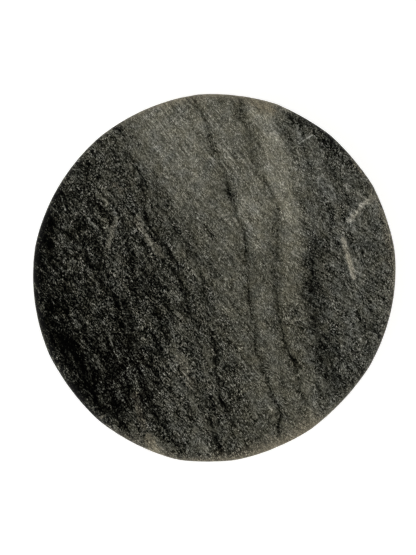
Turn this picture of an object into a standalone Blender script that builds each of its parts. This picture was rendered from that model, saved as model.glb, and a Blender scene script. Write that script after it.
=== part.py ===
"""Round, flat massage stone: one solid piece of dark banded rock, honed by hand.

Metres, +Z up. The stone lies on its underside at z = 0, and its outline's box is centred on the Z axis.
A sawn disc is ground round against a flat lap, a short stretch at a time. That leaves an outline that is
slightly out of round, with faint corners between flatter stretches, and both rims are then eased.
"""

import math

import bpy

# Driving dimensions, in metres.
MEAN_DIAMETER = 0.0900
THICKNESS = 0.0200
EDGE_RADIUS = 0.0022

# How far the outline strays from a true circle: (lobes around the stone, height, direction of a peak
# in degrees counter-clockwise from +X).
OUT_OF_ROUND = (
    (2, 0.00053, 63.0),
    (3, 0.00018, 21.0),
    (4, 0.00017, -3.0),
)

# Faint corners left between one ground stretch and the next, in degrees counter-clockwise from +X, and
# how much nearer to the axis the middle of a stretch lies than its corners.
GROUND_CORNERS = (9, 30, 51, 70, 95, 129, 170, 205, 231, 259, 276, 302, 330)
STRETCH_DEPTH = 0.00020

# One spot stands proud, where the least was ground away: its direction, its height and its half width
# in degrees.
PROUD_SPOT = 260.0
PROUD_HEIGHT = 0.00015
PROUD_HALF_WIDTH = 9.0

# Fineness of the solid: its outline's sides, and the steps across each rounded rim.
OUTLINE_STEPS = 144
EDGE_STEPS = 4

# A rounded rim takes no more than this share of the side wall's height, so that two always fit.
MOST_EDGE_SHARE = 0.45

# Only the two rims turn by more than this, so only they are rounded.
RIM_TURN = math.radians(60.0)

STONE_COLOUR = (0.061, 0.061, 0.047, 1.0)
STONE_ROUGHNESS = 0.6


def turn_between(angle, other):
    """The turn from one direction to another, in degrees, from -180 up to 180."""
    return (other - angle + 180.0) % 360.0 - 180.0


def stretch_depth(angle):
    """How far the flatter ground stretches bring the outline in, in this direction.

    The depth follows a parabola from corner to corner. Its mean is taken off, so that the corners stand
    out a little, the middles lie in, and the mean diameter stays as it is.
    """
    mean_depth = STRETCH_DEPTH * 2.0 / 3.0
    for start, end in zip(GROUND_CORNERS, GROUND_CORNERS[1:] + GROUND_CORNERS[:1]):
        length = (end - start) % 360.0
        along = ((angle - start) % 360.0) / length
        if along < 1.0:
            return STRETCH_DEPTH * 4.0 * along * (1.0 - along) - mean_depth
    return 0.0


def outline_radius(angle):
    """The distance from the axis to the side wall, in a direction in degrees."""
    radius = MEAN_DIAMETER / 2.0
    for lobes, height, peak in OUT_OF_ROUND:
        radius += height * math.cos(math.radians(lobes * (angle - peak)))
    off_spot = turn_between(PROUD_SPOT, angle) / PROUD_HALF_WIDTH
    radius += PROUD_HEIGHT * math.exp(-off_spot * off_spot)
    return radius - stretch_depth(angle)


def new_collection(name):
    """A new collection, linked to the scene."""
    collection = bpy.data.collections.new(name)
    bpy.context.scene.collection.children.link(collection)
    return collection


def stone_material():
    """Dark olive-grey rock with a honed, matt face."""
    material = bpy.data.materials.new("stone")
    material.use_nodes = True
    shader = material.node_tree.nodes["Principled BSDF"]
    shader.inputs["Base Color"].default_value = STONE_COLOUR
    shader.inputs["Roughness"].default_value = STONE_ROUGHNESS
    shader.inputs["Metallic"].default_value = 0.0
    return material


def grind_outline(mesh):
    """Moves a plain disc's rim points out or in to the stone's outline, and centres its box on the axis."""
    for vertex in mesh.vertices:
        angle = math.degrees(math.atan2(vertex.co.y, vertex.co.x))
        radius = outline_radius(angle)
        vertex.co.x = radius * math.cos(math.radians(angle))
        vertex.co.y = radius * math.sin(math.radians(angle))
    for axis in (0, 1):
        places = [vertex.co[axis] for vertex in mesh.vertices]
        middle = (min(places) + max(places)) / 2.0
        for vertex in mesh.vertices:
            vertex.co[axis] -= middle


def make_stone(collection):
    """The stone: a disc with the ground outline, and both rims eased to a round edge."""
    bpy.ops.mesh.primitive_cylinder_add(
        vertices=OUTLINE_STEPS,
        radius=MEAN_DIAMETER / 2.0,
        depth=THICKNESS,
        location=(0.0, 0.0, THICKNESS / 2.0),
    )
    stone = bpy.context.active_object
    stone.name = "stone"
    stone.data.name = "stone"
    for holder in list(stone.users_collection):
        holder.objects.unlink(stone)
    collection.objects.link(stone)
    grind_outline(stone.data)
    stone.data.materials.append(stone_material())
    stone.data.shade_smooth()

    edge = stone.modifiers.new("eased_rims", "BEVEL")
    edge.width = min(EDGE_RADIUS, MOST_EDGE_SHARE * THICKNESS)
    edge.segments = EDGE_STEPS
    edge.limit_method = "ANGLE"
    edge.angle_limit = RIM_TURN
    # The two faces keep level normals right up to the rounding, so they shade flat.
    edge.harden_normals = True


def main():
    """Clears the scene and models the stone."""
    for item in list(bpy.data.objects):
        bpy.data.objects.remove(item, do_unlink=True)
    make_stone(new_collection("basalt_massage_stone"))


main()
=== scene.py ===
"""Looks of a round, flat massage stone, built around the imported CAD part.

The stone is one solid piece of foliated greenstone: black amphibole and dark olive chlorite with layers
of grey-green talc. It is sawn, ground round by hand and honed matt. The CAD solid gives its outline and
thickness. This script makes the fine surface, the rock itself and a plain studio.
"""

import logging
import math
import random
from dataclasses import dataclass, field
from enum import Enum
from typing import ClassVar

import bmesh
import bpy
import numpy as np
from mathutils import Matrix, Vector


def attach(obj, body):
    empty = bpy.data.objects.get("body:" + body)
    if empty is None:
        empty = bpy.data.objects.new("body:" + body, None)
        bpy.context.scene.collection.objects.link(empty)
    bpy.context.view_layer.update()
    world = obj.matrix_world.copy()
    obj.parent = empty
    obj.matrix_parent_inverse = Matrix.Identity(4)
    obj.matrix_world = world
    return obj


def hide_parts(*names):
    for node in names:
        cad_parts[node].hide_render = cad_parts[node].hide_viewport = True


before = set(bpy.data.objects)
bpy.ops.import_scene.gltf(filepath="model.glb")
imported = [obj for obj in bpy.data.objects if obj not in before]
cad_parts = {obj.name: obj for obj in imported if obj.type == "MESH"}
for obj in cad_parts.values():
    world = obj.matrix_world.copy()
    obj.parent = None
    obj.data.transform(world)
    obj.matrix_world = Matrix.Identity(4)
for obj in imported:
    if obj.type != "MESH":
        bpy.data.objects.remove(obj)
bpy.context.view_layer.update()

MM = 0.001
# Two places nearer than this, in metres, are the same place.
SAME_PLACE = 1e-6
# Small enough to count as nothing.
TINY = 1e-9
log = logging.getLogger("massage_stone")

Socket = bpy.types.NodeSocket
Tree = bpy.types.NodeTree
Span = tuple[float, float]
Points = tuple[Span, ...]
Ramp = tuple[tuple[float, str], ...]
Rock = dict[str, Socket | float]

SMOOTH = {"interpolation_type": "SMOOTHSTEP"}
WHITE = (1.0, 1.0, 1.0, 1.0)
# Noise swings about this value.
NOISE_MIDDLE = 0.5


def linear_colour(hex_colour: str) -> tuple[float, float, float, float]:
    """Turns an sRGB hex colour into Blender's linear values.

    Args:
        hex_colour: six hex digits, red first.

    Returns:
        Red, green, blue and an alpha of one.
    """
    channels = (int(hex_colour[i : i + 2], 16) / 255.0 for i in (0, 2, 4))
    return (*(c / 12.92 if c <= 0.04045 else ((c + 0.055) / 1.055) ** 2.4 for c in channels), 1.0)


def add_node(tree: Tree, kind: str, *values: object, output: int | str = 0, **named: object) -> Socket:
    """Adds one node, sets it up and links it.

    Args:
        tree: the material's node tree.
        kind: the node's type without its ShaderNode prefix, then its operation if it has one.
        values: a value or another node's output for each input socket, in order.
        output: which output to hand back.
        named: an input socket where the name has a capital, and otherwise one of the node's own options.

    Returns:
        The chosen output socket. The node itself is its .node.
    """
    kind, _, operation = kind.partition(" ")
    made = tree.nodes.new("ShaderNode" + kind)
    if operation:
        made.operation = operation
    sockets = dict(enumerate(values))
    for name, value in named.items():
        if name[0].isupper():
            sockets[name] = value
        else:
            setattr(made, name, value)
    for socket, value in sockets.items():
        if isinstance(value, Socket):
            tree.links.new(value, made.inputs[socket])
        else:
            made.inputs[socket].default_value = value
    return made.outputs[output]


def select_only(piece: bpy.types.Object) -> None:
    """Deselects everything, then selects one object and makes it the active one."""
    bpy.ops.object.select_all(action="DESELECT")
    piece.select_set(True)
    bpy.context.view_layer.objects.active = piece


class Shade(Enum):
    """Which way a layer or mark differs from the rock around it."""

    DARKER = -1.0
    PALER = 1.0


@dataclass(frozen=True)
class Outline:
    """The stone's plan outline and rim rounding, read from the CAD solid's side wall."""

    angles: np.ndarray
    radii: np.ndarray
    low: float
    high: float
    arris: float

    @classmethod
    def of_node(cls, name: str) -> "Outline":
        """Reads the outline off a CAD node.

        Args:
            name: the node's name.

        Returns:
            The outline, with radii at increasing angles.
        """
        points = np.array([vertex.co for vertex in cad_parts[name].data.vertices])
        low, high = points[:, 2].min(), points[:, 2].max()
        wall_foot = points[points[:, 2] < (low + high) / 2.0, 2].max()
        wall = points[np.abs(points[:, 2] - wall_foot) < SAME_PLACE]
        angles = np.round(np.arctan2(wall[:, 1], wall[:, 0]), 5)
        angles, first = np.unique(angles, return_index=True)
        return cls(angles, np.hypot(wall[first, 0], wall[first, 1]), low, high, wall_foot - low)

    def radius(self, angle: np.ndarray) -> np.ndarray:
        """The distance from the axis to the wall at each angle, in radians."""
        return np.interp(angle, self.angles, self.radii, period=2.0 * math.pi)


@dataclass(frozen=True)
class Layer:
    """A thin layer of one mineral that crosses the stone, in mm on the top face.

    Its course goes from the +Y rim to the -Y rim. Each point is (y, x, strength from 0 to 1). A crisp
    layer has a sharp middle in a soft halo, and a blurred one fades evenly from its middle.
    """

    name: str
    shade: Shade
    width: float
    change: float
    course: tuple[tuple[float, float, float], ...]
    worn: float = 0.0
    crisp: float = 1.0

    def place_at(self, y: np.ndarray) -> np.ndarray:
        """The layer's x at each y, in mm."""
        points = self.course[::-1]
        return np.interp(y, [p[0] for p in points], [p[1] for p in points])

    def strength_at(self, y: np.ndarray) -> np.ndarray:
        """The layer's strength at each y."""
        points = self.course[::-1]
        return np.interp(y, [p[0] for p in points], [p[2] for p in points])


@dataclass(frozen=True)
class Mark:
    """A short straight mark on the top face, in mm: a bruise, a scratch, a mineral fleck, a knot or a painted
    glint.
    """

    name: str
    start: Span
    end: Span
    width: float
    change: float
    shade: Shade = Shade.PALER
    ragged: float = 1.0
    tan: float = 0.0


# The courses of layers are charted over this span of x and y, in mm.
CHART = (-46.0, 46.0)
# Places across the layers: the far left, past the pale band from 0 to 1, to the far right.
PLACES = (-1.0, 2.0)
TONES = (0.0, 0.5)
SHARES = (0.0, 1.0)
MOTTLE_SHARES = (0.0, 0.6)
REACHES = (0.0, 4.0)
FULL_TURN = (0.0, 2.0 * math.pi)

LAYERS = (
    Layer("main seam", Shade.DARKER, 1.7, 0.175, (
        (45, -5.5, 0.6), (40, -3.3, 0.6), (34, -0.8, 0.5), (30, 0.4, 0.5), (26, 2.2, 0.6), (20, 4, 0.7),
        (14, 5.8, 0.45), (8, 7.4, 0.7), (0, 8.8, 0.7), (-6, 9.2, 0.5), (-12, 9.8, 0.6), (-17, 10.6, 0.7),
        (-22, 11.8, 0.7), (-26, 13.2, 0.55), (-30, 14.5, 0.6), (-35, 15.8, 1.0), (-40, 16.6, 1.0),
        (-45, 17.2, 1.0)), worn=0.7),
    Layer("left seam", Shade.DARKER, 2.0, 0.105, (
        (45, -27, 0.0), (30, -20.5, 0.6), (25, -18.2, 0.5), (20, -17.4, 0.4), (15, -16.2, 0.9),
        (10, -13.8, 0.7), (5, -9.4, 0.9), (0, -8.4, 0.9), (-5, -7, 0.6), (-10, -4.9, 0.4),
        (-15, -4.2, 0.3), (-20, -4.2, 0.2), (-25, -4, 0.6), (-30, -2.4, 0.6), (-35, -0.8, 0.7),
        (-40, 0.5, 0.8), (-45, 1.5, 0.8)), worn=0.3),
    Layer("inner seam", Shade.DARKER, 2.0, 0.11, (
        (25, -15.5, 0.0), (20, -13.2, 0.5), (15, -11.4, 0.5), (10, -9, 0.6), (5, -4.8, 0.8), (0, -3, 0.8),
        (-5, -2, 0.6), (-10, -1.2, 0.4), (-15, -0.5, 0.8), (-20, 0.2, 0.7), (-25, 1.2, 1.0), (-30, 1.8, 1.0),
        (-35, 3.7, 0.6), (-40, 4.2, 0.5), (-45, 4.5, 0.4)), worn=0.5),
    Layer("pale vein", Shade.PALER, 2.4, 0.05, (
        (2, -12, 0.0), (-5, -10, 0.8), (-10, -8.4, 0.5), (-15, -8.6, 0.8), (-20, -8, 0.5), (-25, -7.5, 1.0),
        (-30, -5.4, 0.7), (-35, -4.4, 0.7), (-40, -5, 0.9), (-45, -4.5, 0.9)), crisp=0.0),
    Layer("right seam", Shade.DARKER, 1.9, 0.135, (
        (46, 6.3, 1.0), (40, 6.8, 0.9), (35, 8.3, 0.6), (30, 9.4, 0.5), (25, 11.4, 0.4), (20, 14.4, 0.4),
        (15, 15.8, 0.3), (10, 16, 0.5), (5, 14.6, 0.4), (0, 14.8, 0.6), (-5, 15, 0.8), (-10, 16.1, 1.0),
        (-15, 17.4, 1.0), (-20, 19.2, 1.0), (-25, 20.6, 0.5), (-30, 22, 0.4), (-36, 23, 0.0)), worn=0.5),
    Layer("belt", Shade.DARKER, 3.8, 0.1, (
        (38, 20.5, 0.5), (30, 22.5, 0.2), (24, 24, 0.0), (18, 25, 0.1), (10, 26.4, 0.25), (5, 24.4, 0.7),
        (0, 24.4, 0.9), (-5, 24.6, 0.9), (-10, 24.6, 1.0), (-15, 25.6, 1.0), (-20, 27.2, 1.0),
        (-26, 29.4, 0.6), (-32, 31, 0.0)), crisp=0.3),
    Layer("outer seam", Shade.DARKER, 1.6, 0.13, (
        (-15, 22, 0.0), (-21, 23.4, 0.4), (-25, 25.0, 1.0), (-29.5, 26.6, 0.9), (-35, 27.8, 0.2)), worn=0.4),
    Layer("left streak", Shade.DARKER, 2.6, 0.10, (
        (20, -45, 0.9), (15, -41, 1.0), (11, -36, 0.9), (8.5, -33, 0.6), (4, -30.4, 0.5), (0, -27, 0.4),
        (-5, -24.5, 0.6), (-10, -21.6, 0.5), (-15.5, -20.3, 0.5), (-20, -19, 0.5), (-25, -17.2, 0.6),
        (-30, -16.0, 0.5), (-35, -13.5, 0.5), (-42, -10, 0.4)), worn=0.3),
    Layer("black layer", Shade.DARKER, 5.0, 0.07, (
        (1, -45, 0.0), (-6, -42.5, 0.3), (-13, -39.5, 0.5), (-16, -37, 1.0), (-20, -34, 1.0), (-26, -31, 1.0),
        (-30, -28.5, 1.0), (-33, -25, 0.9), (-37, -21, 0.5), (-41, -17, 0.0))),
    Layer("pale lens", Shade.PALER, 1.8, 0.09, (
        (3, -33, 0.0), (0, -32, 0.4), (-5, -33, 0.3), (-10, -33.6, 0.7), (-15, -32.2, 1.0), (-20, -29.2, 0.8),
        (-25, -27, 0.2), (-30, -24, 0.0))),
    Layer("talc ribbon", Shade.PALER, 4.0, 0.08, (
        (46, 9, 0.75), (40, 11.2, 0.75), (35, 14.4, 0.95), (30, 15.0, 0.9), (25, 15.4, 1.0), (20, 17.2, 1.0),
        (15, 19.2, 1.0), (10, 20.4, 1.0), (5, 19.4, 0.9), (0, 19.6, 0.7), (-5, 18.6, 0.3), (-10, 19.4, 0.2),
        (-15, 20.8, 0.2), (-20, 22.8, 0.3), (-25, 23.8, 0.5), (-32, 25, 0.0)), crisp=0.0),
)

MARKS = (
    Mark("bruise", (31.6, 9.4), (34.2, 0.2), 0.95, 0.23, ragged=0.15, tan=0.5),
    Mark("chalky patch", (33.2, 14.2), (36.4, 17.6), 1.0, 0.13, tan=0.3),
    Mark("chalky patch end", (36.2, 17.6), (39.0, 19.8), 1.1, 0.14, tan=0.3),
    Mark("chalky haze", (32.5, 13.0), (39.0, 18.5), 3.0, 0.06),
    Mark("upper scratch", (20.7, 32.9), (24.2, 35.2), 0.26, 0.20, ragged=0.1),
    Mark("rim scratch", (-37.7, 20.3), (-36.5, 16.6), 0.26, 0.36, ragged=0.1),
    Mark("long scratch", (25.9, 14.8), (32.6, 1.3), 0.2, 0.12, ragged=0.1),
    Mark("long scratch end", (31.4, 0.6), (33.8, -4.4), 0.22, 0.15, ragged=0.1),
    Mark("rim tan", (34.8, 28.0), (36.8, 25.4), 0.9, 0.04, tan=0.8),
    Mark("left scratch", (-32.8, 16.2), (-28.6, 12.2), 0.28, 0.16, ragged=0.1),
    Mark("left fleck", (-19.2, 14.2), (-15.7, 8.3), 1.1, 0.16, tan=0.35),
    Mark("left fleck end", (-15.7, 8.3), (-12.6, 5.4), 1.1, 0.16, tan=0.35),
    Mark("far fleck", (-24.2, 14.4), (-26.0, 7.8), 0.9, 0.2, tan=0.3),
    Mark("upper fleck", (-24.2, 22.9), (-22.9, 21.4), 1.0, 0.10, tan=0.5),
    Mark("foot streak", (-19.0, -31.0), (-17.2, -36.6), 1.3, 0.16, ragged=0.6, tan=0.6),
    Mark("foot streak end", (-16.2, -39.4), (-14.0, -43.0), 1.8, 0.2, ragged=0.6, tan=0.9),
    Mark("foot blob", (-19.3, -28.6), (-19.0, -29.8), 1.1, 0.15, tan=0.7),
    Mark("rim notch", (-29.5, -35.4), (-27.0, -33.9), 0.6, 0.13, tan=0.4),
    Mark("lower fleck", (-8.8, -19.5), (-5.5, -26.0), 1.6, 0.06, tan=0.4),
    Mark("olive fleck", (-40.1, -4.2), (-39.0, -4.6), 0.6, 0.18, tan=0.3),
    Mark("ribbon head", (10.0, 43.4), (14.2, 41.4), 1.9, 0.03, ragged=0.6, tan=1.0),
    Mark("corner blot", (20.5, 39.8), (27.5, 36.0), 3.2, 0.14, Shade.DARKER),
    Mark("rim blot", (28.0, 33.4), (35.0, 26.5), 2.4, 0.08, Shade.DARKER),
    Mark("top blot", (7.6, 42.5), (8.0, 38.0), 1.4, 0.06, Shade.DARKER),
    Mark("seam knot", (3.3, 21.4), (4.6, 19.6), 1.1, 0.17, Shade.DARKER),
    Mark("seam knot above", (-1.0, 34.6), (0.0, 31.0), 1.2, 0.13, Shade.DARKER),
    Mark("pit left", (-2.2, 12.2), (-0.6, 10.2), 1.1, 0.13, Shade.DARKER),
    Mark("pit low", (-4.6, -11.6), (-3.6, -13.0), 0.9, 0.08, Shade.DARKER),
    Mark("pit high left", (-24.6, 37.6), (-22.2, 36.4), 1.0, 0.16, Shade.DARKER),
    Mark("pit far left", (-28.4, 33.6), (-27.0, 32.3), 0.9, 0.13, Shade.DARKER),
    Mark("line far left", (-33.0, 26.1), (-31.4, 24.8), 0.5, 0.14, Shade.DARKER),
    Mark("pit upper left", (-19.3, 27.2), (-18.4, 25.9), 0.7, 0.14, Shade.DARKER),
    Mark("pit middle", (-8.2, -0.9), (-6.8, -2.8), 0.6, 0.14, Shade.DARKER),
    Mark("pit lower", (-14.8, -8.9), (-13.4, -9.9), 0.6, 0.12, Shade.DARKER),
    Mark("pit left of middle", (-29.8, 0.4), (-27.9, -0.9), 0.7, 0.12, Shade.DARKER),
    Mark("pit at foot", (-18.0, -26.2), (-15.7, -29.0), 0.6, 0.14, Shade.DARKER),
    Mark("band fleck", (15.4, 17.2), (15.8, 16.4), 0.5, 0.14, Shade.DARKER),
    Mark("high fleck", (9.2, 28.6), (9.6, 27.8), 0.5, 0.12, Shade.DARKER),
    # Two bright specks painted into the colour: painted glints.
    Mark("glint", (18.2, -12.1), (18.7, -12.7), 0.3, 0.2, ragged=0.2),
    Mark("low glint", (13.2, -31.4), (14.1, -32.4), 0.28, 0.22, ragged=0.2),
    Mark("pale patch", (8.5, 17.0), (11.0, 9.0), 4.0, 0.075, ragged=0.3),
    Mark("pale patch beside", (18.5, 16.5), (20.5, 7.0), 3.6, 0.05, ragged=0.3),
    Mark("left haze", (-37.0, 8.0), (-32.5, 0.5), 3.6, 0.045, ragged=0.4),
    Mark("foot haze", (-28.0, -32.5), (-13.0, -41.5), 5.0, 0.08, ragged=0.4),
    Mark("dusk", (-13.5, 3.0), (-14.5, -17.0), 4.5, 0.05, Shade.DARKER, ragged=0.4),
    Mark("low dusk", (3.5, -22.0), (4.5, -30.0), 3.6, 0.045, Shade.DARKER, ragged=0.4),
    Mark("top shade", (2.5, 43.0), (5.0, 40.0), 3.0, 0.04, Shade.DARKER),
    Mark("pale patch right", (26.0, 24.0), (33.5, 17.5), 4.0, 0.045, ragged=0.4),
    Mark("belt haze", (26.0, 12.5), (30.0, 9.5), 3.6, 0.025, ragged=0.4),
    Mark("right shade", (33.5, 5.5), (34.0, 2.0), 3.8, 0.04, Shade.DARKER, ragged=0.4),
    Mark("ribbon shade", (18.8, -8.5), (20.8, -20.0), 3.4, 0.035, Shade.DARKER, ragged=0.4),
    Mark("middle shade", (2.5, -2.5), (8.5, -4.5), 3.8, 0.03, Shade.DARKER, ragged=0.4),
    Mark("left foot haze", (-27.5, -33.0), (-24.5, -36.0), 3.2, 0.04, ragged=0.4),
    Mark("high left haze", (-27.5, 25.0), (-17.5, 27.0), 3.8, 0.03, ragged=0.4),
    Mark("left rim shade", (-41.5, 14.0), (-43.0, 1.0), 4.0, 0.09, Shade.DARKER, ragged=0.4),
)


@dataclass(frozen=True)
class Greenstone:
    """Foliated greenstone, honed: a matt, felted face of pale needles over a nearly black ground.

    Tones are shares of white as the eye judges them. Lengths are in mm.
    """

    name: str = "honed greenstone"

    # Black amphibole, then dark olive chlorite, then grey-green talc, by tone.
    # The rock drifts between a cooler and a warmer green-grey.
    cool: Ramp = (
        (0.00, "000000"), (0.09, "171814"), (0.15, "262722"), (0.21, "343530"), (0.27, "43443e"),
        (0.33, "52534d"), (0.38, "5f605b"), (0.45, "71726c"), (0.55, "8a8a84"), (0.85, "d3d3cc"),
    )
    warm: Ramp = (
        (0.00, "000000"), (0.09, "181810"), (0.15, "28271f"), (0.21, "36352b"), (0.27, "464438"),
        (0.33, "555346"), (0.38, "636154"), (0.45, "757264"), (0.55, "8e8b7b"), (0.85, "d9d5c2"),
    )
    warmth: Points = (
        (-1.0, 0.45), (-0.2, 0.5), (0.1, 0.62), (0.6, 0.66), (0.9, 0.78), (1.1, 0.42), (1.6, 0.33),
        (2.0, 0.5),
    )
    # Iron-stained skin along the rim and in a few flecks.
    stained: Ramp = (
        (0.00, "020100"), (0.20, "35312a"), (0.40, "696455"), (0.60, "9d9580"), (0.85, "d8d0b8"),
    )

    # The broad pale band's edges on the top face: (y, x).
    band_left: Points = (
        (45, -22), (34, -18), (20, -11), (10, -6), (0, -2), (-10, 1), (-20, 3), (-32, 5), (-45, 7),
    )
    band_right: Points = (
        (45, 12), (34, 16.5), (20, 21), (10, 21.5), (0, 21.5), (-10, 22), (-20, 22.5), (-32, 24), (-45, 26),
    )
    # The rock's tone across its layers, from the far left (-1) through the pale band (0 to 1) to the far
    # right (2), near the +Y rim, across the middle and near the -Y rim.
    tone_high: Points = (
        (-1.0, 0.02), (-0.6, 0.085), (-0.4, 0.15), (-0.2, 0.205), (-0.1, 0.27), (0.0, 0.33), (0.2, 0.41),
        (0.45, 0.385), (0.7, 0.385), (0.9, 0.385), (1.02, 0.36), (1.1, 0.32), (1.25, 0.305), (1.4, 0.23),
        (1.6, 0.205), (2.0, 0.15),
    )
    tone_middle: Points = (
        (-1.0, 0.02), (-0.86, 0.06), (-0.7, 0.09), (-0.55, 0.10), (-0.4, 0.12), (-0.25, 0.145), (-0.1, 0.21),
        (0.0, 0.235), (0.2, 0.30), (0.4, 0.315), (0.7, 0.305), (0.92, 0.265), (1.05, 0.225), (1.2, 0.22),
        (1.5, 0.27), (1.75, 0.25), (2.0, 0.21),
    )
    tone_low: Points = (
        (-1.0, 0.0), (-0.78, 0.01), (-0.6, 0.05), (-0.4, 0.165), (-0.2, 0.21), (0.0, 0.205), (0.2, 0.25),
        (0.4, 0.295), (0.75, 0.295), (1.1, 0.285), (1.4, 0.20), (2.0, 0.185),
    )
    # How strongly the rim's skin is stained, by direction in degrees counter-clockwise from +X.
    stain_round: Points = (
        (0, 0.8), (18, 0.7), (40, 0.3), (60, 0.1), (78, 0.9), (100, 0.8), (120, 0.4), (135, 0.2), (150, 0.3),
        (200, 0.3), (220, 0.1), (240, 0.6), (262, 0.75), (280, 1.0), (302, 1.0), (316, 0.3),
        (340, 0.35), (360, 0.8),
    )

    # How strongly streaks and blotches show, across the layers.
    mottle: Points = (
        (-1.0, 0.6), (-0.6, 0.5), (-0.15, 0.42), (0.1, 0.22), (0.9, 0.2), (1.15, 0.38), (2.0, 0.42),
    )
    # Streaks: their turn in degrees, their size in mm and their share.
    streaks: tuple[tuple[float, tuple[float, float, float], float], ...] = (
        (14.0, (1.6, 12.0, 9.0), 1.0), (36.0, (1.3, 7.0, 6.0), 1.3), (0.0, (2.8, 3.6, 3.0), 0.4),
        (40.0, (0.6, 3.0, 2.0), 0.9),
    )

    # How far in from the rim, in mm, the stain reaches, by direction.
    stain_reach: Points = (
        (0, 2.2), (20, 2.0), (45, 0.9), (66, 1.2), (75, 3.0), (84, 1.2), (102, 1.8), (118, 1.3), (140, 0.6),
        (180, 0.5), (220, 0.5), (238, 1.2), (247, 2.4), (258, 1.6), (272, 2.2), (286, 3.0), (298, 3.4),
        (307, 3.2), (314, 1.2), (340, 1.3), (360, 2.2),
    )

    # The stain comes and goes in patches of this size, by this swing and shift of the noise.
    stain_patch: float = 2.2
    stain_swing: Span = (3.6, -0.1)
    # The tone that stained skin takes, and how much of the felt shows through it.
    skin_tone: float = 0.385
    stained_felt: float = 0.75
    # What share of the stain, and of the felt, is left half way down the wall, and how far from there,
    # up or down, each begins to come back and is whole again.
    # Leaving little stain half way down the wall paints the wall's middle darker: painted shade against the
    # strong side light on the wall.
    wall_stain_and_shade: float = 0.25
    stain_levels: Span = (4.0, 8.5)
    wall_felt: float = 0.55
    felt_levels: Span = (7.0, 9.8)

    # The layers lean: each mm down moves them by this many mm towards -X and -Y.
    lean: Span = (0.42, 0.12)
    # They are wavy too: (size of a wave, how far it reaches). The felt follows a sweep of its own.
    waves: Points = ((7.0, 4.0), (1.5, 0.8))
    sweep: Span = (5.0, 2.4)
    # How far the rock goes on to the left and to the right of the pale band.
    left_of_band: float = 40.0
    right_of_band: float = 25.0
    # The y at which tone_low, tone_middle and tone_high hold.
    tone_heights: tuple[float, float, float] = (-32.0, 2.0, 36.0)
    # The drift between the cooler and the warmer green-grey.
    drift_size: float = 3.2
    drift: float = 1.6

    # A layer or mark is whole up to this share of its width. A crisp layer has a sharp core, given as a
    # share of the width and a height, on a halo that is lower by the drop.
    full_share: float = 0.3
    core_width: float = 0.28
    core: float = 0.9
    halo_drop: float = 0.4
    # Marks have frayed edges, and fade out between these two depths.
    fray_size: float = 0.9
    fray: float = 2.4
    mark_depths: Span = (1.5, 4.0)
    # A seam holds little felt: the least share of it, and the strength of seam that leaves so little.
    seam_felt: float = 0.45
    seam_full: float = 1.5

    # The needles of the felt are taken to be 0.05 mm thick in the real rock. They are drawn about four
    # times as coarse, which is the finest that shows. Each set lies its own way, in degrees
    # counter-clockwise from +X.
    needle_across: float = 0.19
    needle_along: float = 0.85
    # They also rise and fall with the layers, so that they are this many times as tall as wide.
    needle_rise: float = 3.2
    needle_directions: tuple[float, ...] = (130.0, 137.0, 123.0, 66.0)
    needle_share: float = 0.84
    needle_mean: float = 0.24
    # Where a needle's side begins and ends, in its own width, the share of needles too dark to see, and
    # the shift between sets.
    needle_edge: Span = (0.12, 0.55)
    needle_lost: float = 0.2
    needle_shift: float = 3.1
    # Specks among the needles, and the drawn-out clumps in which the felt is open or close: how wide and
    # how long. Specks are drawn as coarse as the needles, for the same reason.
    speck: Span = (0.18, 0.34)
    speck_share: float = 1.1
    clump: Span = (1.6, 5.0)
    clump_noise: Span = (0.32, 0.68)
    openness: Span = (0.76, 1.24)
    # How far each set of strokes is shifted, in mm, so that no two fall together.
    shifts: ClassVar[dict[str, float]] = {"speck": 41.0, "clump": 29.0, "plain": 17.0, "turned": 23.0}
    # Honing leaves straight hairlines across the face: how wide and how long. Real ones are taken to be a
    # tenth as wide, too fine to show. They turn a little from left to right, between these two x.
    hairline_size: Span = (0.36, 7.0)
    hairline: float = 0.6
    hairline_turn: float = 21.0
    hairline_turns_at: Span = (5.0, 25.0)
    # They survive in patches, and this little of them is left between the patches.
    patch_size: float = 6.0
    patch_noise: Span = (0.38, 0.68)
    patch_least: float = 0.1
    # Mica flakes with a painted glint: their spacing, where each fades, and how bright the painted glint is.
    flake_spacing: float = 1.5
    flake_edge: Span = (0.05, 0.14)
    flake_glint: float = 0.22

    # How strongly the felt shows, by tone: little in the blackest rock, and most in the dark rock.
    grain: Points = (
        (0.0, 0.6), (0.07, 0.72), (0.14, 0.82), (0.20, 0.70), (0.26, 0.54), (0.32, 0.45), (0.38, 0.44),
        (0.5, 0.43),
    )

    # A honed face is matt. The pale talc is a little duller than the black amphibole.
    ior: float = 1.55
    specular_level: float = 0.03
    rough_tones: Span = (0.05, 0.45)
    rough_dark: float = 0.40
    rough_pale: float = 0.52
    relief: float = 0.03
    hairline_relief: float = 0.5

    def material(self, outline: Outline) -> bpy.types.Material:
        """Builds the rock as one solid pattern that runs through the stone.

        Args:
            outline: the stone's outline, for its heights.

        Returns:
            The material.
        """
        made = bpy.data.materials.new(self.name)
        made.use_nodes = True
        tree = made.node_tree
        shader = tree.nodes["Principled BSDF"]
        shader.inputs["IOR"].default_value = self.ior
        shader.inputs["Specular IOR Level"].default_value = self.specular_level

        surface = add_node(tree, "TexCoord", output="Object")
        point = add_node(tree, "VectorMath SCALE", surface, Scale=1.0 / MM)
        rock = self._layered_point(tree, point, outline.high / MM)
        rock["middle"] = (outline.low + outline.high) / 2.0 / MM
        tone, stain = self._tone(tree, rock)
        grain, hairs = self._grain(tree, rock)
        tone, stain = self._dress(tree, rock, tone, stain, grain, hairs)

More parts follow.
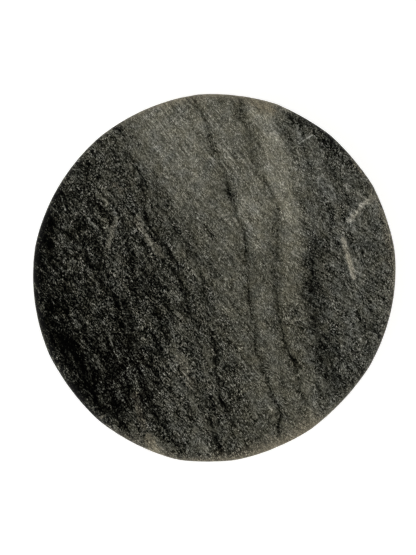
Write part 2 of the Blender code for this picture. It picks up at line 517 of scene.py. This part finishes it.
        colour = add_node(
            tree, "Mix", Factor=stain, A=self._rock_colour(tree, rock, tone),
            B=self._palette(tree, self.stained, tone), data_type="RGBA", clamp_factor=True, output="Result"
        )
        tree.links.new(colour, shader.inputs["Base Color"])
        rough = add_node(tree, "MapRange", tone, *self.rough_tones, self.rough_dark, self.rough_pale)
        tree.links.new(rough, shader.inputs["Roughness"])
        height = add_node(tree, "Math MULTIPLY_ADD", hairs, self.hairline_relief, grain)
        bump = add_node(tree, "Bump", Strength=1.0, Distance=self.relief * MM, Height=height)
        tree.links.new(bump, shader.inputs["Normal"])
        return made

    def _palette(self, tree: Tree, stops: Ramp, tone: Socket) -> Socket:
        """Colours a tone from a list of mineral colours.

        Args:
            tree: the material's node tree.
            stops: (tone, sRGB hex colour), darkest first.
            tone: the tone to colour.

        Returns:
            The colour socket.
        """
        colour = add_node(tree, "ValToRGB", Fac=tone, output="Color")
        ramp = colour.node.color_ramp
        while len(ramp.elements) < len(stops):
            ramp.elements.new(1.0)
        for element, (position, hex_colour) in zip(ramp.elements, stops):
            element.position = position
            element.color = linear_colour(hex_colour)
        return colour

    def _rock_colour(self, tree: Tree, rock: Rock, tone: Socket) -> Socket:
        """Colours the rock, warmer in the talc band and cooler in the dark layers, with some drift.

        Args:
            tree: the material's node tree.
            rock: the layered point.
            tone: the tone to colour.

        Returns:
            The colour socket.
        """
        drift = add_node(tree, "TexNoise", Vector=rock["bent"], Scale=1.0 / self.drift_size, Detail=3.0)
        warmth = self._curve(tree, rock["place"], PLACES, SHARES, self.warmth)
        warmth = add_node(tree, "Math MULTIPLY_ADD", drift, self.drift, warmth)
        middle = NOISE_MIDDLE * self.drift
        warmth = add_node(tree, "Math SUBTRACT", warmth, middle, use_clamp=True)
        return add_node(
            tree, "Mix", Factor=warmth, A=self._palette(tree, self.cool, tone),
            B=self._palette(tree, self.warm, tone), data_type="RGBA", output="Result"
        )

    def _curve(self, tree: Tree, at: Socket, span: Span, values: Span, points: Points) -> Socket:
        """Reads a smooth curve through a few chosen points.

        Args:
            tree: the material's node tree.
            at: where to read the curve.
            span: the lowest and highest place on the curve.
            values: the range its values stay in.
            points: (place, value), in any order.

        Returns:
            The value socket.
        """
        share = add_node(tree, "MapRange", at, span[0], span[1])
        read = add_node(tree, "FloatCurve", Factor=1.0, Value=share)
        mapping = read.node.mapping
        mapping.extend = "HORIZONTAL"
        line = mapping.curves[0]
        placed = sorted(
            ((place - span[0]) / (span[1] - span[0]), (value - values[0]) / (values[1] - values[0]))
            for place, value in points
        )
        line.points[0].location = placed[0]
        line.points[-1].location = placed[-1]
        for place, value in placed[1:-1]:
            line.points.new(place, value)
        mapping.update()
        return add_node(tree, "MapRange", read, 0.0, 1.0, values[0], values[1], clamp=False)

    def _layered_point(self, tree: Tree, point: Socket, top: float) -> Rock:
        """Follows the leaning, slightly wavy layers from any point up to the top face.

        Args:
            tree: the material's node tree.
            point: the surface point, in mm.
            top: the top face's height, in mm.

        Returns:
            Sockets by name, in mm. x, y and bent give the place on the top face after the waves, flat
            gives it before them, and depth is how far below it the point lies. point, raw_x, raw_y and
            raw_z are the surface point itself, and swept is that point after the felt's gentle sweep.
        """
        split = add_node(tree, "SeparateXYZ", point).node.outputs
        depth = add_node(tree, "Math SUBTRACT", top, split["Z"])
        across = add_node(tree, "Math MULTIPLY_ADD", depth, self.lean[0], split["X"])
        along = add_node(tree, "Math MULTIPLY_ADD", depth, self.lean[1], split["Y"])
        solid = add_node(tree, "CombineXYZ", across, along, depth)
        bent = solid
        for size, reach in self.waves:
            sway = add_node(
                tree, "TexNoise", Vector=solid, Scale=1.0 / size, Detail=2.0, Roughness=0.5, output="Color"
            )
            centred = add_node(tree, "VectorMath SUBTRACT", sway, [NOISE_MIDDLE] * 3)
            bent = add_node(tree, "VectorMath MULTIPLY_ADD", centred, [reach] * 3, bent)
        wavy = add_node(tree, "SeparateXYZ", bent).node.outputs
        flat = add_node(tree, "CombineXYZ", across, along, 0.0)
        size, reach = self.sweep
        sway = add_node(tree, "TexNoise", Vector=point, Scale=1.0 / size, Detail=1.0, output="Color")
        centred = add_node(tree, "VectorMath SUBTRACT", sway, [NOISE_MIDDLE] * 3)
        swept = add_node(tree, "VectorMath MULTIPLY_ADD", centred, [reach] * 3, point)
        return {
            "x": wavy["X"], "y": wavy["Y"], "bent": bent, "flat": flat, "swept": swept, "depth": depth,
            "point": point, "raw_x": split["X"], "raw_y": split["Y"], "raw_z": split["Z"],
        }

    def _tone(self, tree: Tree, rock: Rock) -> tuple[Socket, Socket]:
        """The rock's broad tone, layer by layer, and where it is stained.

        Args:
            tree: the material's node tree.
            rock: the layered point.

        Returns:
            The tone and the stain.
        """
        left = self._curve(tree, rock["y"], CHART, CHART, self.band_left)
        right = self._curve(tree, rock["y"], CHART, CHART, self.band_right)
        across = add_node(tree, "Math SUBTRACT", rock["x"], left)
        before = add_node(tree, "MapRange", across, -self.left_of_band, 0.0, PLACES[0], 0.0)
        width = add_node(tree, "Math SUBTRACT", right, left)
        within = add_node(tree, "Math DIVIDE", across, width, use_clamp=True)
        past = add_node(tree, "Math SUBTRACT", rock["x"], right)
        after = add_node(tree, "MapRange", past, 0.0, self.right_of_band)
        place = add_node(tree, "Math ADD", before, within)
        place = add_node(tree, "Math ADD", place, after)
        rock["place"] = place

        low, middle, high = (
            self._curve(tree, place, PLACES, TONES, tones)
            for tones in (self.tone_low, self.tone_middle, self.tone_high)
        )
        y_low, y_middle, y_high = self.tone_heights
        rise = add_node(tree, "MapRange", rock["y"], y_low, y_middle, **SMOOTH)
        tone = add_node(tree, "Mix", Factor=rise, A=low, B=middle)
        rise = add_node(tree, "MapRange", rock["y"], y_middle, y_high, **SMOOTH)
        tone = add_node(tree, "Mix", Factor=rise, A=tone, B=high)

        # Streaks drawn out along the layers, a couple of mm thick, and softer blotches. They are stronger
        # in the dark rock than in the pale band.
        strength = self._curve(tree, place, PLACES, MOTTLE_SHARES, self.mottle)
        for turn, size, share in self.streaks:
            drawn = add_node(
                tree, "Mapping", Vector=rock["bent"], Rotation=(0.0, 0.0, math.radians(turn)), Scale=size,
                vector_type="TEXTURE"
            )
            streak = add_node(tree, "TexNoise", Vector=drawn, Scale=1.0, Detail=3.0, Roughness=0.6)
            centred = add_node(tree, "Math SUBTRACT", streak, NOISE_MIDDLE)
            centred = add_node(tree, "Math MULTIPLY", centred, share)
            tone = add_node(tree, "Math MULTIPLY_ADD", centred, strength, tone)

        stain = seams = None
        for layer in LAYERS:
            course = self._curve(tree, rock["y"], CHART, CHART, tuple((y, x) for y, x, _ in layer.course))
            strengths = tuple((y, strength) for y, _, strength in layer.course)
            strength = self._curve(tree, rock["y"], CHART, SHARES, strengths)
            off = add_node(tree, "Math SUBTRACT", rock["x"], course)
            off = add_node(tree, "Math ABSOLUTE", off)
            full = self.full_share * layer.width * (1.0 - layer.crisp)
            halo_top = 1.0 - self.halo_drop * layer.crisp
            halo = add_node(tree, "MapRange", off, full, layer.width, halo_top, 0.0, **SMOOTH)
            core_end, core_top = self.core_width * layer.width, self.core * layer.crisp
            core = add_node(tree, "MapRange", off, 0.0, core_end, core_top, 0.0, **SMOOTH)
            mask = add_node(tree, "Math ADD", halo, core)
            mask = add_node(tree, "Math MULTIPLY", mask, strength)
            mask.node.label = layer.name
            change = layer.change * layer.shade.value
            tone = add_node(tree, "Math MULTIPLY_ADD", mask, change, tone)
            if layer.shade is Shade.DARKER:
                seams = self._stronger(tree, seams, mask)
        rock["seams"] = seams

        ragged = add_node(tree, "TexNoise", Vector=rock["flat"], Scale=1.0 / self.fray_size, Detail=2.0)
        ragged = add_node(tree, "Math SUBTRACT", ragged, NOISE_MIDDLE)
        for mark in MARKS:
            mask = self._mark(tree, rock, mark, ragged)
            mask.node.label = mark.name
            change = mark.change * mark.shade.value
            tone = add_node(tree, "Math MULTIPLY_ADD", mask, change, tone)
            if mark.tan:
                tint = add_node(tree, "Math MULTIPLY", mask, mark.tan)
                stain = self._stronger(tree, stain, tint)
        return tone, stain

    def _stronger(self, tree: Tree, mask: Socket | None, other: Socket) -> Socket:
        """The stronger of two masks at each point, or the second where there is no first yet."""
        return other if mask is None else add_node(tree, "Math MAXIMUM", mask, other)

    def _mark(self, tree: Tree, rock: Rock, mark: Mark, ragged: Socket) -> Socket:
        """How strongly a mark shows at the point: one on its line, none past its width.

        Args:
            tree: the material's node tree.
            rock: the layered point.
            mark: the mark.
            ragged: noise about nought that frays the mark's edge.

        Returns:
            The mark's mask.
        """
        start, end = Vector((*mark.start, 0.0)), Vector((*mark.end, 0.0))
        run = end - start
        from_start = add_node(tree, "VectorMath SUBTRACT", rock["flat"], start)
        share = add_node(tree, "VectorMath DOT_PRODUCT", from_start, run / run.length_squared, output="Value")
        share = add_node(tree, "Clamp", Value=share)
        nearest = add_node(tree, "VectorMath SCALE", run, Scale=share)
        away = add_node(tree, "VectorMath DISTANCE", from_start, nearest, output="Value")
        fray = self.fray * mark.ragged * mark.width
        away = add_node(tree, "Math MULTIPLY_ADD", ragged, fray, away)
        full = self.full_share * mark.width
        mask = add_node(tree, "MapRange", away, full, mark.width, 1.0, 0.0, **SMOOTH)
        near_top = add_node(tree, "MapRange", rock["depth"], *self.mark_depths, 1.0, 0.0)
        return add_node(tree, "Math MULTIPLY", mask, near_top)

    def _grain(self, tree: Tree, rock: Rock) -> tuple[Socket, Socket]:
        """The felt of fine needles, and the hairlines that honing leaves.

        Args:
            tree: the material's node tree.
            rock: the layered point.

        Returns:
            The felt and the hairlines, each centred on nought.
        """
        felt = None
        for number, direction in enumerate(self.needle_directions):
            needles = self._needles(tree, rock["swept"], direction, self.needle_shift * number)
            felt = self._stronger(tree, felt, needles)
        felt = add_node(tree, "Math SUBTRACT", felt, self.needle_mean)
        felt = add_node(tree, "Math MULTIPLY", felt, self.needle_share)
        main = self.needle_directions[0]
        speck = self._drawn_noise(tree, rock["point"], main, *self.speck, self.shifts["speck"])
        speck = add_node(tree, "Math SUBTRACT", speck, NOISE_MIDDLE)
        grain = add_node(tree, "Math MULTIPLY_ADD", speck, self.speck_share, felt)
        clumps = self._drawn_noise(tree, rock["bent"], main, *self.clump, self.shifts["clump"])
        openness = add_node(tree, "MapRange", clumps, *self.clump_noise, *self.openness)
        grain = add_node(tree, "Math MULTIPLY", grain, openness)

        plain = self._drawn_noise(tree, rock["point"], main, *self.hairline_size, self.shifts["plain"])
        other = main + self.hairline_turn
        turned = self._drawn_noise(tree, rock["point"], other, *self.hairline_size, self.shifts["turned"])
        right = add_node(tree, "MapRange", rock["x"], *self.hairline_turns_at)
        hairs = add_node(tree, "Mix", Factor=right, A=plain, B=turned)
        hairs = add_node(tree, "Math SUBTRACT", hairs, NOISE_MIDDLE)
        patches = add_node(tree, "TexNoise", Vector=rock["point"], Scale=1.0 / self.patch_size, Detail=2.0)
        kept = add_node(tree, "MapRange", patches, *self.patch_noise, self.patch_least, 1.0)
        hairs = add_node(tree, "Math MULTIPLY", hairs, kept)
        return grain, hairs

    def _needles(self, tree: Tree, point: Socket, direction: float, offset: float) -> Socket:
        """One set of short needles that lie one way, each as bright as chance makes it.

        Args:
            tree: the material's node tree.
            point: the surface point, in mm.
            direction: which way the needles lie, in degrees counter-clockwise from +X.
            offset: a shift in mm that keeps the sets apart.

        Returns:
            How strongly a needle shows, from 0 to 1.
        """
        laid = add_node(
            tree, "Mapping", Vector=point, Location=(offset, offset, 0.0),
            Rotation=(0.0, 0.0, math.radians(direction - 90.0)),
            Scale=(self.needle_across, self.needle_along, self.needle_rise * self.needle_across),
            vector_type="TEXTURE"
        )
        away = add_node(tree, "TexVoronoi", Vector=laid, Scale=1.0, output="Distance")
        body = add_node(tree, "MapRange", away, *self.needle_edge, 1.0, 0.0, **SMOOTH)
        chance = add_node(tree, "SeparateColor", away.node.outputs["Color"])
        bright = add_node(tree, "MapRange", chance, self.needle_lost, 1.0)
        return add_node(tree, "Math MULTIPLY", body, bright)

    def _drawn_noise(
        self, tree: Tree, point: Socket, direction: float, across: float, along: float, offset: float
    ) -> Socket:
        """Noise drawn out into strokes that lie one way.

        Args:
            tree: the material's node tree.
            point: the surface point, in mm.
            direction: which way the strokes lie, in degrees counter-clockwise from +X.
            across: the strokes' thickness, in mm.
            along: their length, in mm.
            offset: a shift in mm that keeps sets of strokes apart.

        Returns:
            The noise, about 0.5.
        """
        drawn = add_node(
            tree, "Mapping", Vector=point, Location=(offset, offset, 0.0),
            Rotation=(0.0, 0.0, math.radians(direction - 90.0)),
            Scale=(across, along, across * self.needle_rise), vector_type="TEXTURE"
        )
        return add_node(tree, "TexNoise", Vector=drawn, Scale=1.0, Detail=1.0, Roughness=0.5)

    def _dress(
        self, tree: Tree, rock: Rock, tone: Socket, stain: Socket, grain: Socket, hairs: Socket
    ) -> tuple[Socket, Socket]:
        """Adds the felt, the mica flakes' painted glints and the rim's stained skin to the broad tone.

        Args:
            tree: the material's node tree.
            rock: the layered point.
            tone: the broad tone.
            stain: where flecks are stained.
            grain: the felt.
            hairs: the hairlines.

        Returns:
            The finished tone and stain.
        """
        rim = add_node(tree, "Attribute", attribute_name="rim_distance", output="Fac")
        angle = add_node(tree, "Math ARCTAN2", rock["raw_y"], rock["raw_x"])
        turn = add_node(tree, "Math WRAP", angle, FULL_TURN[1], FULL_TURN[0])
        amount, reach = (
            self._curve(tree, turn, FULL_TURN, span, tuple((math.radians(a), value) for a, value in points))
            for span, points in ((SHARES, self.stain_round), (REACHES, self.stain_reach))
        )
        patchy = add_node(tree, "TexNoise", Vector=rock["bent"], Scale=1.0 / self.stain_patch, Detail=3.0)
        patchy = add_node(tree, "Math MULTIPLY_ADD", patchy, *self.stain_swing)
        reach = add_node(tree, "Math MULTIPLY", reach, patchy)
        skin = add_node(tree, "MapRange", rim, 0.0, reach, 1.0, 0.0, **SMOOTH)
        skin = add_node(tree, "Math MULTIPLY", skin, amount)
        # The stain thins out towards the middle of the wall. This is partly the rim's real stain and partly
        # painted shade, which darkens the middle of the brightly lit wall.
        level = add_node(tree, "Math SUBTRACT", rock["raw_z"], rock["middle"])
        level = add_node(tree, "Math ABSOLUTE", level)
        kept = add_node(tree, "MapRange", level, *self.stain_levels, self.wall_stain_and_shade, 1.0, **SMOOTH)
        skin = add_node(tree, "Math MULTIPLY", skin, kept)

        # The wall is ground and not honed, which dulls its felt.
        dulled = add_node(tree, "MapRange", level, *self.felt_levels, self.wall_felt, 1.0, **SMOOTH)
        smoother = add_node(tree, "MapRange", skin, 0.0, 1.0, 1.0, self.stained_felt)
        bare = add_node(tree, "MapRange", rock["seams"], 0.0, self.seam_full, 1.0, self.seam_felt)
        size = self._curve(tree, tone, TONES, SHARES, self.grain)
        for share in (dulled, smoother, bare):
            size = add_node(tree, "Math MULTIPLY", size, share)
        skin_tone = add_node(tree, "Mix", Factor=skin, A=tone, B=self.skin_tone)
        tone = add_node(tree, "Math MULTIPLY_ADD", grain, size, skin_tone)
        tone = add_node(tree, "Math MULTIPLY_ADD", hairs, self.hairline, tone)

        # Mica flakes, painted brighter in the colour as a painted glint.
        scale = 1.0 / self.flake_spacing
        flakes = add_node(tree, "TexVoronoi", Vector=rock["bent"], Scale=scale, output="Distance")
        chance = add_node(tree, "SeparateColor", flakes.node.outputs["Color"])
        bright = add_node(tree, "MapRange", flakes, *self.flake_edge, self.flake_glint, 0.0)
        bright = add_node(tree, "Math MULTIPLY", bright, chance)
        tone = add_node(tree, "Math ADD", tone, bright)
        stain = add_node(tree, "Math MAXIMUM", stain, skin)
        return tone, stain


@dataclass
class MassageStone:
    """The stone: turned as a plain blank, ground to its outline, honed, and worn."""

    node: str = "stone"
    name: str = "honed_stone"
    body: str = "root"
    slot: str = "stone"
    finish: Greenstone = field(default_factory=Greenstone)

    # Fineness of the blank before it is divided once more.
    sides: int = 320
    arris_steps: int = 4
    wall_steps: int = 16

    # Clearance that keeps the fine surface inside the solid's box.
    skin: float = 0.006 * MM

    # Honing by hand leaves the faces this uneven, over this distance.
    face_swell: float = 0.05 * MM
    face_swell_size: float = 14.0 * MM
    # The ground wall is rougher.
    wall_tooth: float = 0.07 * MM
    wall_tooth_size: float = 1.6 * MM
    # Soft seams wear below the face.
    seam_depth: float = 0.07 * MM
    # Small chips along both rims.
    chips: int = 30
    chip_depth: float = 0.22 * MM
    chip_sizes: Span = (0.35, 1.0)
    chip_shares: Span = (0.3, 1.0)
    chip_inset: float = 0.3
    seed: int = 11
    # A worn seam's groove, as a share of the seam's width, and the least weight worth storing.
    groove: float = 0.8
    least_weight: float = 0.004
    # The faces' unevenness begins this far in from the rim, in mm, and the wall's fades over the arris.
    swell_inset: float = 0.5
    wall_fade: float = 1.3

    def build(self) -> bpy.types.Object:
        """Models the stone, gives it its rock and hands it to the frame.

        Returns:
            The finished piece.
        """
        self.outline = Outline.of_node(self.node)
        self.radius = float(self.outline.radii.mean())
        self.height = self.outline.high - self.outline.low
        piece = self._turn_blank()
        self._divide(piece)
        self._grind_outline(piece)
        self._wear(piece)
        piece.data.materials.append(self.finish.material(self.outline))
        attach(piece, self.body)
        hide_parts(self.node)
        across = piece.dimensions.x / MM
        log.info("%s: %d faces, %.1f mm across", piece.name, len(piece.data.polygons), across)
        return piece

    def _profile(self) -> list[Span]:
        """The blank's section from the underside's rim up to the top face's rim.

        Returns:
            (radius, height) pairs.
        """
        arris, radius = self.outline.arris, self.radius
        low, high = self.outline.low, self.outline.high
        turns = [math.pi / 2.0 * step / self.arris_steps for step in range(self.arris_steps + 1)]
        lower = [(radius - arris * (1.0 - math.sin(t)), low + arris * (1.0 - math.cos(t))) for t in turns]
        rise = (self.height - 2.0 * arris) / self.wall_steps
        wall = [(radius, low + arris + rise * step) for step in range(1, self.wall_steps)]
        upper = [(r, high + low - z) for r, z in reversed(lower)]
        return lower + wall + upper

    def _turn_blank(self) -> bpy.types.Object:
        """Raises a ring up the section step by step, then closes both faces with a grid.

        Returns:
            The blank.
        """
        profile = self._profile()
        bpy.ops.object.select_all(action="DESELECT")
        bpy.ops.mesh.primitive_circle_add(
            vertices=self.sides, radius=profile[0][0], fill_type="NOTHING", location=(0.0, 0.0, profile[0][1])
        )
        piece = bpy.context.active_object
        piece.name = self.name
        piece.data.name = self.name
        bpy.ops.object.transform_apply(location=True, rotation=True, scale=True)
        bpy.ops.object.mode_set(mode="EDIT")
        bpy.ops.mesh.select_all(action="SELECT")
        for (radius, height), (next_radius, next_height) in zip(profile, profile[1:]):
            bpy.ops.mesh.extrude_region_move(
                TRANSFORM_OT_translate={"value": (0.0, 0.0, next_height - height)}
            )
            if abs(next_radius - radius) > TINY:
                grow = next_radius / radius
                bpy.ops.transform.resize(value=(grow, grow, 1.0), center_override=(0.0, 0.0, next_height))
        for level in (profile[0][1], profile[-1][1]):
            self._select_level(piece, level)
            bpy.ops.mesh.fill_grid(span=self.sides // 4)
        bpy.ops.mesh.select_all(action="SELECT")
        bpy.ops.mesh.normals_make_consistent(inside=False)
        bpy.ops.object.mode_set(mode="OBJECT")
        return piece

    def _select_level(self, piece: bpy.types.Object, level: float) -> None:
        """Selects only the open ring of edges at one height, in edit mode."""
        bpy.ops.mesh.select_all(action="DESELECT")
        sheet = bmesh.from_edit_mesh(piece.data)
        for edge in sheet.edges:
            edge.select_set(edge.is_boundary and all(abs(v.co.z - level) < SAME_PLACE for v in edge.verts))
        bmesh.update_edit_mesh(piece.data)

    def _divide(self, piece: bpy.types.Object) -> None:
        """Divides the blank once more, which also softens its section."""
        select_only(piece)
        finer = piece.modifiers.new("finer", "SUBSURF")
        finer.levels = finer.render_levels = 1
        bpy.ops.object.modifier_apply(modifier=finer.name)

    def _grind_outline(self, piece: bpy.types.Object) -> None:
        """Brings the round blank to the stone's own outline, and notes each point's distance from the rim."""
        mesh = piece.data
        points = np.empty(len(mesh.vertices) * 3)
        mesh.vertices.foreach_get("co", points)
        points = points.reshape(-1, 3)
        plan = np.hypot(points[:, 0], points[:, 1])
        angle = np.arctan2(points[:, 1], points[:, 0])
        outer = self.outline.radius(angle) - self.skin
        arris = self.outline.arris
        at_rim = outer - (self.radius - plan)
        inside = plan * (outer - arris) / (self.radius - arris)
        ground = np.where(plan > self.radius - arris, at_rim, inside)
        scale = ground / np.maximum(plan, TINY)
        points[:, 0] *= scale
        points[:, 1] *= scale
        mesh.vertices.foreach_set("co", points.ravel())
        mesh.update()
        distance = mesh.attributes.new("rim_distance", "FLOAT", "POINT")
        distance.data.foreach_set("value", np.maximum(self.radius - plan, 0.0) / MM)

    def _weights(self, piece: bpy.types.Object, name: str, weights: np.ndarray) -> bpy.types.VertexGroup:
        """Stores a weight for each point that has one.

        Args:
            piece: the stone.
            name: the group's name.
            weights: one weight for each point.

        Returns:
            The vertex group.
        """
        group = piece.vertex_groups.new(name=name)
        for index in np.nonzero(weights > self.least_weight)[0]:
            group.add([int(index)], float(min(weights[index], 1.0)), "REPLACE")
        return group

    def _wear(self, piece: bpy.types.Object) -> None:
        """Adds the shallow relief that honing, grinding, soft seams and small knocks leave, all inwards."""
        mesh = piece.data
        points = np.array([vertex.co for vertex in mesh.vertices])
        normals = np.array([vertex.normal for vertex in mesh.vertices])
        rim = np.array([item.value for item in mesh.attributes["rim_distance"].data])
        upright = np.abs(normals[:, 2])
        arris = self.outline.arris / MM

        depth = (self.outline.high - points[:, 2]) / MM
        across = points[:, 0] / MM + depth * self.finish.lean[0]
        along = points[:, 1] / MM + depth * self.finish.lean[1]
        seams = np.zeros(len(points))
        for layer in LAYERS:
            if layer.worn:
                off = np.abs(across - layer.place_at(along)) / (self.groove * layer.width)
                seams = np.maximum(seams, layer.worn * layer.strength_at(along) * np.exp(-off * off))

        chips = np.zeros(len(points))
        draw = random.Random(self.seed)
        for _ in range(self.chips):
            turn = draw.uniform(-math.pi, math.pi)
            inset = self.chip_inset * self.outline.arris
            radius = float(self.outline.radius(np.array([turn]))[0]) - inset
            level = draw.choice((self.outline.low, self.outline.high))
            inward = inset if level == self.outline.low else -inset
            centre = np.array([radius * math.cos(turn), radius * math.sin(turn), level + inward])
            size = draw.uniform(*self.chip_sizes) * MM
            off = np.linalg.norm(points - centre, axis=1) / size
            chips = np.maximum(chips, draw.uniform(*self.chip_shares) * np.exp(-off * off))

        faces = np.clip((rim - self.swell_inset) / arris, 0.0, 1.0)
        wall = np.clip(1.0 - upright * self.wall_fade, 0.0, 1.0)
        cuts = (
            ("honed faces", faces, self.face_swell, self.face_swell_size),
            ("ground wall", wall, self.wall_tooth, self.wall_tooth_size),
            ("worn seams", seams, self.seam_depth, None),
            ("chips", chips, self.chip_depth, None),
        )
        select_only(piece)
        for name, weights, depth_of_cut, size in cuts:
            group = self._weights(piece, name, weights)
            cut = piece.modifiers.new(name, "DISPLACE")
            cut.vertex_group = group.name
            cut.direction = "NORMAL"
            if size is None:
                cut.mid_level = 0.0
                cut.strength = -depth_of_cut
            else:
                pattern = bpy.data.textures.new(name, "CLOUDS")
                pattern.noise_scale = size
                pattern.noise_depth = 2
                cut.texture = pattern
                cut.texture_coords = "LOCAL"
                cut.mid_level = 1.0
                cut.strength = depth_of_cut
            bpy.ops.object.modifier_apply(modifier=cut.name)
        piece.vertex_groups.clear()
        bpy.ops.object.shade_smooth()


@dataclass
class Studio:
    """A pale floor, a soft light tent that is dark overhead, and a camera straight above the stone."""

    floor_size: float = 6.0
    floor_colour: str = "f2f1ee"
    floor_glow: float = 0.50
    floor_roughness: float = 0.9

    # The tent's light, its dark top, and how high that begins and is full, where 1 is overhead.
    tent_light: float = 1.75
    tent_top: float = 0.02
    tent_rise: Span = (0.55, 0.84)

    key_power: float = 1.6
    key_size: float = 0.6
    key_place: tuple[float, float, float] = (-0.75, -0.6, 0.55)

    lens: float = 85.0
    sensor: float = 36.0
    nearest: float = 0.01
    camera_above_rim: float = 0.3237
    camera_aside: Span = (-1.56 * MM, 0.08 * MM)

    def build(self, outline: Outline) -> None:
        """Makes the floor, the light and the camera.

        Args:
            outline: the stone's outline, for its heights.
        """
        self._lay_floor(outline.low)
        self._light_tent()
        self._key_light()
        self._stand_camera(outline.high - outline.arris)
        settings = bpy.context.scene.view_settings
        settings.view_transform = "Standard"
        settings.look = "None"

    def _lay_floor(self, level: float) -> None:
        """A wide sheet of pale card. It glows a little, as card does under strong light from all round."""
        bpy.ops.object.select_all(action="DESELECT")
        bpy.ops.mesh.primitive_plane_add(size=self.floor_size, location=(0.0, 0.0, level))
        floor = bpy.context.active_object
        floor.name = "floor"
        card = bpy.data.materials.new("pale card")
        card.use_nodes = True
        looks = {
            "Base Color": linear_colour(self.floor_colour), "Roughness": self.floor_roughness,
            "Specular IOR Level": 0.0, "Emission Color": WHITE, "Emission Strength": self.floor_glow,
        }
        for socket, value in looks.items():
            card.node_tree.nodes["Principled BSDF"].inputs[socket].default_value = value
        floor.data.materials.append(card)

    def _light_tent(self) -> None:
        """Soft light from all round, strongest near the horizon and dark overhead."""
        world = bpy.data.worlds.new("light tent")
        world.use_nodes = True
        bpy.context.scene.world = world
        tree = world.node_tree
        direction = add_node(tree, "TexCoord", output="Generated")
        height = add_node(tree, "SeparateXYZ", direction, output="Z")
        glow = add_node(tree, "MapRange", height, *self.tent_rise, self.tent_light, self.tent_top, **SMOOTH)
        backdrop = tree.nodes["Background"]
        backdrop.inputs["Color"].default_value = WHITE
        tree.links.new(glow, backdrop.inputs["Strength"])

    def _key_light(self) -> None:
        """A large soft panel, low beyond the -X -Y side, that the camera doesn't see."""
        bpy.ops.object.light_add(type="AREA", location=self.key_place)
        key = bpy.context.active_object
        key.name = "key_panel"
        key.data.energy = self.key_power
        key.data.shape = "SQUARE"
        key.data.size = self.key_size
        key.rotation_euler = (-key.location).to_track_quat("-Z", "Y").to_euler()
        key.visible_camera = False

    def _stand_camera(self, rim_level: float) -> None:
        """A camera on a stand straight above the stone, with +Y up in the picture."""
        made = bpy.data.cameras.new("camera")
        made.lens = self.lens
        made.sensor_width = self.sensor
        made.clip_start = self.nearest
        camera = bpy.data.objects.new("camera", made)
        camera.location = (*self.camera_aside, rim_level + self.camera_above_rim)
        bpy.context.scene.collection.objects.link(camera)
        bpy.context.scene.camera = camera


def write_sizes() -> None:
    """Brings the scene's object matrices up to date."""
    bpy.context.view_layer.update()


def main() -> None:
    """Builds the stone, then the studio round it."""
    logging.basicConfig(level=logging.INFO, format="%(name)s: %(message)s")
    stone = MassageStone()
    stone.build()
    Studio().build(stone.outline)
    write_sizes()


if __name__ == "__main__":
    main()
